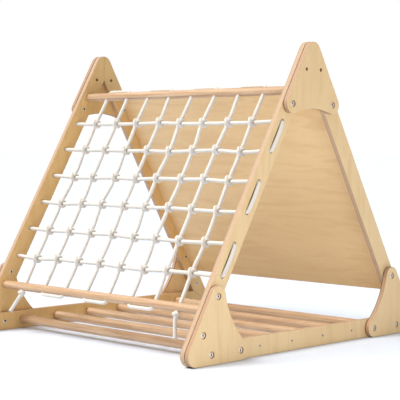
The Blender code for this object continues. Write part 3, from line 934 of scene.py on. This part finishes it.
class CLIMBING_OT_stage(bpy.types.Operator):
    """Lay a white floor, light it softly and aim the camera"""
    bl_idname = "climbing.stage"
    bl_label = "Stage"

    def execute(self, context):
        stage = context.scene.climbing_stage
        deselect()
        bpy.ops.mesh.primitive_plane_add(size=FLOOR_SIZE, location=(0.0, 0.0, -FLOOR_GAP))
        floor = context.object
        floor.name = "studio_floor"
        paint, n, shader, coords = new_material("studio_floor", Specular_IOR_Level=0.2)
        mottle = n.noise(coords["Object"], 3.0, 2.0)
        n.set(shader["Base Color"], n.blend(mottle, rgba((0.70, 0.755, 0.85)), rgba((0.715, 0.765, 0.855))))
        shader["Roughness"].default_value = 0.6
        floor.data.materials.append(paint)

        self.add_room(context, stage)
        self.add_lamp("key", "SUN", stage.key, (-0.55, -0.90, 1.60), (0.0, 0.0, 0.0),
                      angle=math.radians(34.0), color=(1.0, 0.985, 0.965))
        self.add_lamp("fill", "AREA", stage.fill, (2.0, -0.6, 0.15), (0.45, -0.20, 0.15), size=0.9)
        context.scene.view_settings.view_transform = "Standard"
        self.add_camera(context, stage)
        return {"FINISHED"}

    def add_room(self, context, stage):
        """A white backdrop, with a ceiling that lights more than the walls do."""
        world = bpy.data.worlds.new("room")
        world.use_nodes = True
        n = Nodes(world.node_tree)
        upward = n.parts(n.add("ShaderNodeTexCoord").outputs["Generated"])["Z"]
        glow = n.mapped(upward, 0.15, 0.95, stage.horizon, stage.sky)
        seen = n.add("ShaderNodeLightPath").outputs["Is Camera Ray"]
        background = world.node_tree.nodes["Background"].inputs
        background["Color"].default_value = rgba((1.0, 1.0, 1.0))
        n.set(background["Strength"], n.math("MAXIMUM", seen, glow))
        context.scene.world = world

    def add_lamp(self, name, kind, power, place, target, **settings):
        lamp = bpy.data.lights.new(name, kind)
        lamp.energy = power
        for key, value in settings.items():
            setattr(lamp, key, value)
        made = bpy.data.objects.new(name, lamp)
        made.location = place
        made.rotation_euler = (Vector(place) - Vector(target)).to_track_quat("Z", "Y").to_euler()
        made.visible_camera = False
        bpy.context.scene.collection.objects.link(made)

    def add_camera(self, context, stage):
        azimuth, elevation, roll = stage.azimuth, stage.elevation, stage.roll
        back = Vector((math.sin(azimuth) * math.cos(elevation), -math.cos(azimuth) * math.cos(elevation),
                       math.sin(elevation)))
        level = Vector((math.cos(azimuth), math.sin(azimuth), 0.0))
        up = back.cross(level)
        right = level * math.cos(roll) + up * math.sin(roll)
        above = up * math.cos(roll) - level * math.sin(roll)
        view = bpy.data.cameras.new("camera")
        view.lens, view.sensor_width = stage.lens, 36.0
        camera = bpy.data.objects.new("camera", view)
        axes = Matrix((right, above, back)).transposed().to_4x4()
        camera.matrix_world = Matrix.Translation(Vector(stage.aim) + back * stage.distance) @ axes
        context.scene.collection.objects.link(camera)
        context.scene.camera = camera


class CLIMBING_OT_tails(bpy.types.Operator):
    """Hang the two free ends of the rope, each with its stopper knot and a frayed cut end"""
    bl_idname = "climbing.tails"
    bl_label = "Rope Tails"

    def execute(self, context):
        rope = context.scene.climbing_rope
        finish = once(cotton)
        for side, route in TAILS.items():
            line = smooth_line(route, rope.ring_step)
            left = np.linspace(1.0, 0.0, len(line))
            flare = 1.0 + 0.16 * np.exp(-left / 0.06) - 0.08 * np.exp(-((left - 0.22) / 0.10) ** 2)
            tail = rope_tube(f"{side}_rope_tail", line, ROPE_D / 2 * flare, rope.sides + 4, dome=0.0006)
            settle(tail, tail.name, finish, "cotton_rope", f"rope_tail_{side}")
            extras = [self.stopper_knot(side, route, rope), self.fray(side, line)]
            for extra in extras:
                settle(extra, extra.name, finish, "cotton_rope")
            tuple(route[0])
        return {"FINISHED"}

    def stopper_knot(self, side, route, rope):
        """Two turns of rope round the start of a tail, tucked in at both ends."""
        start, toward = Vector(route[0]), (Vector(route[2]) - Vector(route[0])).normalized()
        x_way = toward.orthogonal().normalized()
        y_way = toward.cross(x_way)

        def place(part, u, v):
            return start + toward * ROPE_D * (0.15 + 1.15 * part) + x_way * u + y_way * v

        return knot(f"{side}_stopper_knot", place, 3.6, 0.62, rope)

    def fray(self, side, line):
        """Loose yarn ends that stand out of the cut end."""
        chance = random.Random(5 if side == "left" else 6)
        end, ahead = Vector(line[-1]), (Vector(line[-1]) - Vector(line[-4])).normalized()
        x_way = ahead.orthogonal().normalized()
        y_way = ahead.cross(x_way)
        yarns = []
        for i in range(YARNS):
            angle, reach = i * GOLDEN_ANGLE, ROPE_D * 0.52 * math.sqrt((i + 0.5) / YARNS)
            out = x_way * math.cos(angle) + y_way * math.sin(angle)
            root = end + out * reach - ahead * 0.004
            long = chance.uniform(0.0050, 0.0068)
            bend = x_way * chance.uniform(-1, 1) + y_way * chance.uniform(-1, 1)
            points = [root + ahead * long * t + out * 0.0012 * t * t + bend * 0.0005 * t * t
                      for t in (0.0, 0.35, 0.7, 1.0)]
            path = np.array([tuple(p) for p in points])
            yarns.append(rope_tube(f"yarn_{i}", path, np.array((0.00062, 0.00066, 0.0006, 0.0003)), 6))
        made = joined(yarns)
        made.name = f"{side}_rope_fray"
        return made


class CLIMBING_OT_rails(bpy.types.Operator):
    """Cut the six rails of the side triangles, drill and groove them"""
    bl_idname = "climbing.rails"
    bl_label = "Rails"

    def execute(self, context):
        blank, drilled, empty = self.blank(), bolt_drill(), empty_drill()
        ends, socket_floor = [at_node(node) for node in dowel_nodes()], -INNER_FACE - SOCKET_DEPTH
        sockets = drill_bits(
            both_ways([(socket_floor, 0.0), (socket_floor, DOWEL_D / 2 + 0.0002)]), ends, 48)
        screws = drill_bits(screw_hole_profile(), ends)
        ropes = drill_bits(
            rope_hole_profile(), [Matrix.Translation(net_point(0.0, down)) for down in ROWS])
        groove = self.groove()
        channels = {side: self.channels(side, sign) for side, sign in SIDES.items()}
        for rail, (corner, turn) in RAILS.items():
            for side, sign in SIDES.items():
                inner = INNER_FACE if sign > 0 else -OUTER_FACE
                made = copy_at(blank, corner_frame(corner, turn, inner))
                cut(made, drilled, empty)
                if rail == "panel_rail":
                    cut(made, groove)
                else:
                    cut(made, sockets, screws)
                if rail == "net_rail":
                    cut(made, ropes, channels[side])
                finish_piece(made, f"{side}_{rail}", plywood("rail", INNER_FACE, RAIL_BURN_AND_SHADE), "birch_plywood",
                             f"{rail}_{side}")
        discard(blank, drilled, empty, sockets, screws, ropes, groove, *channels.values())
        return {"FINISHED"}

    def blank(self):
        """One rail in its own frame: a rounded quarter corner at each end and mitres on the bisectors."""
        half_gap = JOINT_GAP / 2
        foot = RAIL_WIDTH / math.tan(SIXTH / 2) + 2 * half_gap
        first = 210.0 + math.degrees(math.asin(half_gap / CORNER_RADIUS))
        centre = point(CORNER_RADIUS / math.tan(SIXTH / 2), CORNER_RADIUS)
        far_centre = point(SIDE - centre.y, CORNER_RADIUS)
        start = polar(centre, CORNER_RADIUS, first)
        blank = draw(
            start, (centre, 270.0 - first, 12), point(far_centre.y, 0.0),
            (far_centre, 270.0 - first, 12), point(SIDE - foot, RAIL_WIDTH), point(foot, RAIL_WIDTH), start,
        )
        slope = math.tan(SIXTH / 2)
        near = 4 * half_gap
        thicken(square=lambda v: min(abs(v.z - v.y * slope), abs(v.z - (SIDE - v.y) * slope)) < near)
        return blank

    def channels(self, side, sign):
        """A shallow routed channel between the two holes of each stitch on one net rail."""
        first = 0 if side == "right" else 1
        bars = []
        half_width = MOUTH_D / 2 - 0.0002
        for i in range(first, ROPES_ACROSS - 1, 2):
            low = Vector((OUTER_FACE - CHANNEL_DEPTH, ROWS[i], MIDDLE - half_width))
            high = Vector((OUTER_FACE + PLY, ROWS[i + 1], MIDDLE + half_width))
            if sign < 0:
                low.x, high.x = -high.x, -low.x
            bars.append(block(low, high, NET))
        made = joined(bars)
        # The channel's floor and walls take the near-black bored wood: painted shade under each stitch.
        scorch(made)
        return made

    def groove(self):
        """The room that the panel's edges take in the panel rails."""
        home = corner_frame(*RAILS["panel_rail"])
        low, high = box_in("climbing_panel", home)
        slack = Vector((JOINT_GAP, JOINT_GAP, JOINT_GAP))
        return block(low - slack, high + slack, home)


class CLIMBING_OT_gussets(bpy.types.Operator):
    """Cut the six gussets, drill them and sink the recesses for the bolt heads"""
    bl_idname = "climbing.gussets"
    bl_label = "Gussets"

    def execute(self, context):
        blank, drilled, empty = self.blank(), bolt_drill(), empty_drill()
        floor, wall, reach, ease = GUSSET_FACE - RECESS_DEPTH, RECESS_D / 2, GUSSET_FACE + PLY, RECESS_EASE
        recess = ((floor, 0.0), (floor, wall), (GUSSET_FACE - ease, wall), (GUSSET_FACE, wall + ease),
                  (reach, wall + ease), (reach, 0.0))
        places = [at_node(node) @ pointing(sign) for *_, sign, _, node in bolts()]
        # Only the recess floors take the near-black bored wood: painted shade round each bolt head.
        recesses = drill_bits(recess, places, 48, whole=False)
        for corner, turn in GUSSETS.items():
            for side, sign in SIDES.items():
                x = GUSSET_INNER if sign > 0 else -GUSSET_FACE
                made = copy_at(blank, corner_frame(corner, turn, x))
                cut(made, drilled, empty, recesses)
                finish_piece(made, f"{corner}_{side}_gusset", plywood("gusset", GUSSET_INNER, GUSSET_BURN_AND_SHADE),
                             "birch_plywood", f"gusset_{corner}_{side}")
        discard(blank, drilled, empty, recesses)
        return {"FINISHED"}

    def blank(self):
        """A rounded corner, a round lobe over each far bolt and one hollow arc between the lobes."""
        far_bolt = max(middle(f"bolt_front_right_{i + 1}").y for i in range(BOLTS["front"])) + SIDE / 2
        half = SIXTH / 2
        lobe_y = far_bolt * math.cos(half) + MIDDLE * math.sin(half)
        lobe_z = -far_bolt * math.sin(half) + MIDDLE * math.cos(half)
        waist = lobe_y + MIDDLE - WAIST_INSET
        hollow = ((waist - lobe_y) ** 2 + lobe_z ** 2 - MIDDLE ** 2) / (2 * WAIST_INSET)
        meet = math.degrees(math.atan2(-lobe_z, waist + hollow - lobe_y))
        corner, low, high = point(2 * CORNER_RADIUS, 0.0), point(lobe_y, lobe_z), point(lobe_y, -lobe_z)
        start = polar(corner, CORNER_RADIUS, 120.0)
        blank = draw(
            start, (corner, 120.0, 24), polar(low, MIDDLE, 240.0), (low, 120.0 + meet, 24),
            (point(waist + hollow, 0.0), -2 * meet, 24), (high, 120.0 + meet, 24), start,
        )
        thicken()
        return blank


class CLIMBING_OT_dowels(bpy.types.Operator):
    """Turn the six base dowels and the two net dowels, and drill the net dowels for the rope"""
    bl_idname = "climbing.dowels"
    bl_label = "Dowels"

    def execute(self, context):
        bore, ease = ROPE_D / 2 + ROPE_CLEARANCE, HOLE_EASE
        through = both_ways([(-DOWEL_D, 0.0), (-DOWEL_D, bore + 3 * ease), (-DOWEL_D / 2 + ease / 2, bore)])
        down_slope = NET.to_3x3().to_4x4() @ Matrix.Rotation(math.pi / 2, 4, "Z")
        for node in dowel_nodes():
            low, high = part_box(node)
            deselect()
            bpy.ops.mesh.primitive_cylinder_add(
                vertices=64, radius=DOWEL_D / 2, depth=high.x - low.x, location=middle(node),
                rotation=(0.0, math.pi / 2, 0.0),
            )
            made = context.object
            bpy.ops.object.mode_set(mode="EDIT")
            reach = (high.x - low.x) / 2
            pick_edges(lambda e: all(abs(abs(v.co.z) - reach) < 1e-4 for v in e.verts))
            bevel(DOWEL_END_ROUND)
            settle_transform()
            if node.startswith("net"):
                along = along_net(node)
                places = [Matrix.Translation(net_point(x, along)) @ down_slope for x in COLUMNS]
                drill = drill_bits(through, places)
                cut(made, drill)
                discard(drill)
            finish_piece(made, f"beech_{node}", once(beech), "beech_dowel", node)
        return {"FINISHED"}


class CLIMBING_OT_panel(bpy.types.Operator):
    """Cut the plywood panel of the back slope"""
    bl_idname = "climbing.panel"
    bl_label = "Panel"

    def execute(self, context):
        home = corner_frame(*RAILS["panel_rail"])
        low, high = box_in("climbing_panel", home)
        made = block(low, high, home, PANEL_CORNER, PANEL_EDGE_ROUND)
        finish_piece(made, "slope_panel", once(panel_plywood), "panel_plywood", "climbing_panel")
        return {"FINISHED"}


class CLIMBING_OT_bolts(bpy.types.Operator):
    """Turn one sleeve bolt with hexagon sockets and set a copy at each gusset hole"""
    bl_idname = "climbing.bolts"
    bl_label = "Bolts"

    def execute(self, context):
        head, nut, shank = HEAD_D / 2, NUT_D / 2, SHANK_D / 2
        head_seat, nut_seat = GUSSET_FACE - RECESS_DEPTH, INNER_FACE - JOINT_GAP
        top, bottom = head_seat + HEAD_HEIGHT, BOLT_INSIDE
        model = turned((
            (bottom, 0.0), (bottom, nut - 0.0008), (bottom + 0.0003, nut - 0.0002), (bottom + 0.0008, nut),
            (nut_seat, nut), (nut_seat, shank), (head_seat, shank), (head_seat, head),
            (top - 0.0012, head), (top - 0.0007, head - 0.0003), (top - 0.0003, head - 0.0009),
            (top, head - 0.0022), (top + 0.0001, head - 0.0036), (top - 0.0004, head - 0.0042),
            (top - 0.0004, 0.0),
        ), 48)
        key = joined([
            hexagon(0.0027, top - 0.0045, top + 0.002), hexagon(0.0038, bottom - 0.002, bottom + 0.004),
        ])
        scorch(key)
        cut(model, key)
        chance = random.Random(3)
        for corner, side, sign, number, node in bolts():
            spin = Matrix.Rotation(chance.uniform(0.0, math.pi / 3), 4, "X")
            made = copy_at(model, at_node(node) @ pointing(sign) @ spin)
            finish_piece(
                made, f"{corner}_{side}_bolt_{number}", once(zinc), "zinc_steel", node, smooth=40.0)
        discard(model, key)
        return {"FINISHED"}


class CLIMBING_OT_screws(bpy.types.Operator):
    """Sink a countersunk screw through each rail into the end of each dowel"""
    bl_idname = "climbing.screws"
    bl_label = "Dowel Screws"

    def execute(self, context):
        face, tip = OUTER_FACE - SCREW_SUNK, INNER_FACE - SCREW_BITE
        shank, head = 0.0019, 0.0040
        model = turned((
            (tip, 0.0), (tip + 0.004, shank), (face - 0.0030, shank), (face - 0.0005, head - 0.0001),
            (face - 0.0001, head), (face, head - 0.0003), (face, 0.0),
        ), 32)
        key = hexagon(0.0026, face - 0.003, face + 0.003)
        scorch(key)
        cut(model, key)
        for node in dowel_nodes():
            for side, sign in SIDES.items():
                made = copy_at(model, at_node(node) @ pointing(sign))
                finish_piece(made, f"{side}_screw_{node}", once(zinc), "zinc_steel")
        discard(model, key)
        return {"FINISHED"}


class CLIMBING_OT_net(bpy.types.Operator):
    """Run the ropes down and across, hitch them at each crossing and knot their ends"""
    bl_idname = "climbing.net"
    bl_label = "Rope Net"

    def execute(self, context):
        rope = context.scene.climbing_rope
        places = crossings()
        for i in range(ROPES_DOWN):
            hitches = [net_point(*places[i, row]) for row in range(ROPES_ACROSS)]
            self.add_run(f"rope_down_{i + 1}", self.down(i, places, rope), rope, hitches)
        for i in range(ROPES_ACROSS):
            self.add_run(f"rope_across_{i + 1}", self.across(i, places, rope), rope)
        for number, down in ((1, FIRST_ROW), (2, LAST_ROW)):
            self.end_knot(number, down, rope)
        return {"FINISHED"}

    def add_run(self, name, points, rope, hitches=()):
        """One run of rope through its points, a little thinner where a hitch squeezes it."""
        line = smooth_line(points, rope.ring_step)
        squeeze = np.zeros(len(line))
        for hitch in hitches:
            away = np.linalg.norm(line - np.array(hitch), axis=1) / ROPE_D
            squeeze = np.maximum(squeeze, np.exp(-((away / 1.9) ** 4)))
        radii = ROPE_D / 2 * (1.0 - HITCH_SQUEEZE * squeeze)
        made = rope_tube(name, line, radii, rope.sides, dome=0.001)
        self.press(made, line, radii)
        settle(made, name, once(cotton), "cotton_rope", f"net_{name}")

    def press(self, made, line, radii):
        """Flattens a stitch where it lies against a dowel or the outer face of a rail."""
        mesh = made.data
        points = np.array([v.co[:] for v in mesh.vertices])
        sides = (len(points) - 2) // len(line)
        of_ring = np.concatenate([np.repeat(np.arange(len(line)), sides), (0, len(line) - 1)])
        centres = line[of_ring]
        outside = (np.abs(centres[:, 0]) > OUTER_FACE) & (np.abs(points[:, 0]) < OUTER_FACE)
        points[outside, 0] = np.sign(points[outside, 0]) * OUTER_FACE
        for node in ("net_dowel_top", "net_dowel_bottom"):
            axis = np.array(middle(node)[1:])
            reach = np.linalg.norm(points[:, 1:] - axis, axis=1)
            held = (np.linalg.norm(centres[:, 1:] - axis, axis=1) > DOWEL_D / 2) & (reach < DOWEL_D / 2)
            away = (points[held, 1:] - axis) / reach[held, None]
            points[held, 1:] = axis + away * DOWEL_D / 2
        mesh.vertices.foreach_set("co", points.ravel())

    def down(self, i, places, rope):
        """One run down: its stitch over the top dowel or under the bottom one, and a hitch per row."""
        x, surface = COLUMNS[i], DOWEL_D / 2
        hidden = surface - ROPE_D
        top, bottom = [net_point(x, NET_TOP - hidden)], [net_point(x, NET_BOTTOM + hidden)]
        if i in (0, ROPES_DOWN - 1):
            bottom.append(net_point(x, NET_BOTTOM + surface + 0.002))
        if i + 1 < ROPES_DOWN:
            loop = stitch(surface, x, COLUMNS[i + 1], rope)
            if i % 2 == 0:
                top = [net_point(travel, NET_TOP - height) for height, travel in reversed(loop)]
                top.insert(0, net_point(COLUMNS[i + 1], NET_TOP))
            else:
                bottom = [net_point(travel, NET_BOTTOM + height) for height, travel in loop]
                bottom.append(net_point(COLUMNS[i + 1], NET_BOTTOM))
        top.append(net_point(x, NET_TOP + DOWEL_D))
        bottom.insert(0, net_point(x, NET_BOTTOM - DOWEL_D))
        half = [Vector(p) * ROPE_D * rope.hitch_size for p in HALF_HITCH]
        whole = half + [Vector((-p.x, -p.y, p.z)) for p in reversed(half)]
        points = list(top)
        for row in range(ROPES_ACROSS):
            x_at, down_at, out_at = places[i, row]
            points += [net_point(x_at + p.x, down_at + p.y, out_at + p.z) for p in whole]
        return points + bottom

    def across(self, i, places, rope):
        """One run across, through the middle of each hitch and out through both net rails."""
        down = ROWS[i]
        hidden = OUTER_FACE - ROPE_D
        left, right = [net_point(-hidden, down)], [net_point(hidden, down)]
        if i in (0, ROPES_ACROSS - 1):
            left.insert(0, net_point(-OUTER_FACE - 0.002, down))
        if i + 1 < ROPES_ACROSS:
            loop = stitch(OUTER_FACE, down, ROWS[i + 1], rope, rope.stitch_bow)
            if i % 2 == 0:
                right = [net_point(height, travel) for height, travel in loop]
                right.append(net_point(INNER_FACE + PLY / 2, ROWS[i + 1]))
            else:
                left = [net_point(-height, travel) for height, travel in reversed(loop)]
                left.insert(0, net_point(-INNER_FACE - PLY / 2, ROWS[i + 1]))
        left.append(net_point(-INNER_FACE + ROPE_D / 2, down))
        right.insert(0, net_point(INNER_FACE - ROPE_D / 2, down))
        held = [places[column, i] for column in range(ROPES_DOWN)]
        return left + [net_point(x, at, out - DRAWN_BACK * ROPE_D) for x, at, out in held] + right

    def end_knot(self, number, down, rope):
        """A stopper knot against the outside of the left rail: two turns round the rope's end."""
        node = f"rope_end_knot_{number}"
        start = -OUTER_FACE - ROPE_D * 0.35
        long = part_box(node)[0].x + OUTER_FACE + ROPE_D * 0.55

        def place(part, u, v):
            return net_point(start + long * part, down + u, v)

        made = knot(f"end_knot_{number}", place, 3.4, 0.60, rope)
        settle(made, made.name, once(cotton), "cotton_rope", node)


def bolts():
    """(corner, side, sign, number, node) of every gusset bolt."""
    return [(corner, side, sign, i + 1, f"bolt_{corner}_{side}_{i + 1}")
            for corner, count in BOLTS.items() for side, sign in SIDES.items() for i in range(count)]


def dowel_nodes():
    return [f"base_dowel_{i + 1}" for i in range(BASE_DOWELS)] + ["net_dowel_top", "net_dowel_bottom"]


def box_in(node, home):
    """Lowest and highest corner of a node, measured in another frame."""
    back = home.inverted()
    points = np.array([back @ v.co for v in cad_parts[node].data.vertices])
    return Vector(points.min(0)), Vector(points.max(0))


def block(low, high, home, corner=0.0, rim=0.0):
    """A box between two corners of a frame, its thin edges rounded by corner and its rim by rim."""
    deselect()
    bpy.ops.mesh.primitive_cube_add(size=1.0, location=(low + high) / 2, scale=high - low)
    apply_place()
    made = bpy.context.object
    thickness = high.z - low.z
    if corner:
        bpy.ops.object.mode_set(mode="EDIT")
        pick_edges(lambda e: abs(e.verts[0].co.z - e.verts[1].co.z) > thickness / 2)
        bevel(corner, 6)
        pick_edges(lambda e: abs(e.verts[0].co.z - e.verts[1].co.z) < thickness / 2)
        bevel(rim)
        deselect()
    made.data.transform(home)
    return made


def bolt_drill():
    """Through both side triangles at every bolt."""
    reach, bore, ease = GUSSET_FACE + PLY, BOLT_HOLE_D / 2, BOLT_HOLE_EASE
    places = [at_node(node) for *_, sign, _, node in bolts() if sign > 0]
    half = [
        (-reach, 0.0), (-reach, bore),
        (-GUSSET_FACE - ease, bore + 2 * ease), (-GUSSET_FACE + ease, bore),
        (-INNER_FACE - ease, bore), (-INNER_FACE + ease, bore + 2 * ease), (-INNER_FACE + 3 * ease, bore),
    ]
    return drill_bits(both_ways(half), places)


def empty_drill():
    """The empty holes beside the top corner, wider than a bolt's."""
    reach, bore = GUSSET_FACE + PLY, EMPTY_D / 2
    near = min((middle(f"bolt_front_right_{i + 1}") - Vector((0.0, -SIDE / 2, 0.0))).yz.length
               for i in range(BOLTS["front"]))
    along = math.sqrt(near ** 2 - MIDDLE ** 2)
    spots = (NET @ Vector((0.0, along, MIDDLE)),
             corner_frame(*RAILS["panel_rail"]) @ Vector((0.0, SIDE - along, MIDDLE)))
    return drill_bits(
        both_ways([(-reach, 0.0), (-reach, bore)]), [Matrix.Translation(spot) for spot in spots])


def rope_hole_profile():
    """A bore along X with its edges eased on both faces of both rails."""
    bore, ease, reach = ROPE_D / 2 + ROPE_CLEARANCE, HOLE_EASE, GUSSET_FACE + PLY
    floor = -OUTER_FACE + CHANNEL_DEPTH
    return both_ways([
        (-reach, 0.0), (-reach, MOUTH_D / 2), (floor, MOUTH_D / 2), (floor + ease, bore),
        (-INNER_FACE - ease, bore), (-INNER_FACE, bore + ease), (-INNER_FACE + ease, bore),
    ])


def screw_hole_profile():
    """A pilot hole along X with a countersink on the outer face of both rails."""
    pilot, mouth, reach = 0.0024, 0.0046, GUSSET_FACE + PLY
    return both_ways([
        (-reach, 0.0), (-reach, mouth), (-OUTER_FACE + 0.0004, mouth), (-OUTER_FACE + 0.0030, pilot),
    ])


class CLIMBING_PT_panel(bpy.types.Panel):
    bl_label = "Climbing Triangle"
    bl_idname = "CLIMBING_PT_panel"
    bl_space_type = "VIEW_3D"
    bl_region_type = "UI"
    bl_category = "Climbing"

    def draw(self, context):
        layout = self.layout
        for group in (context.scene.climbing_wood, context.scene.climbing_rope, context.scene.climbing_stage):
            column = layout.column(align=True)
            for name in group.bl_rna.properties.keys():
                if name not in ("rna_type", "name"):
                    column.prop(group, name)
        for operator in OPERATORS:
            layout.operator(operator.bl_idname)


SETTINGS = {"climbing_wood": WoodSettings, "climbing_rope": RopeSettings, "climbing_stage": StageSettings}
OPERATORS = (
    CLIMBING_OT_stage, CLIMBING_OT_tails, CLIMBING_OT_rails, CLIMBING_OT_gussets, CLIMBING_OT_dowels,
    CLIMBING_OT_panel, CLIMBING_OT_bolts, CLIMBING_OT_screws, CLIMBING_OT_net,
)


def register():
    for made in (*SETTINGS.values(), *OPERATORS, CLIMBING_PT_panel):
        bpy.utils.register_class(made)
    for name, settings in SETTINGS.items():
        setattr(bpy.types.Scene, name, bpy.props.PointerProperty(type=settings))


def unregister():
    for name in SETTINGS:
        delattr(bpy.types.Scene, name)
    for made in reversed((*SETTINGS.values(), *OPERATORS, CLIMBING_PT_panel)):
        bpy.utils.unregister_class(made)


def main():
    register()
    bpy.ops.climbing.stage()
    bpy.ops.climbing.tails()
    bpy.ops.climbing.rails()
    bpy.ops.climbing.gussets()
    bpy.ops.climbing.dowels()
    bpy.ops.climbing.panel()
    bpy.ops.climbing.bolts()
    bpy.ops.climbing.screws()
    bpy.ops.climbing.net()


if __name__ == "__main__":
    main()
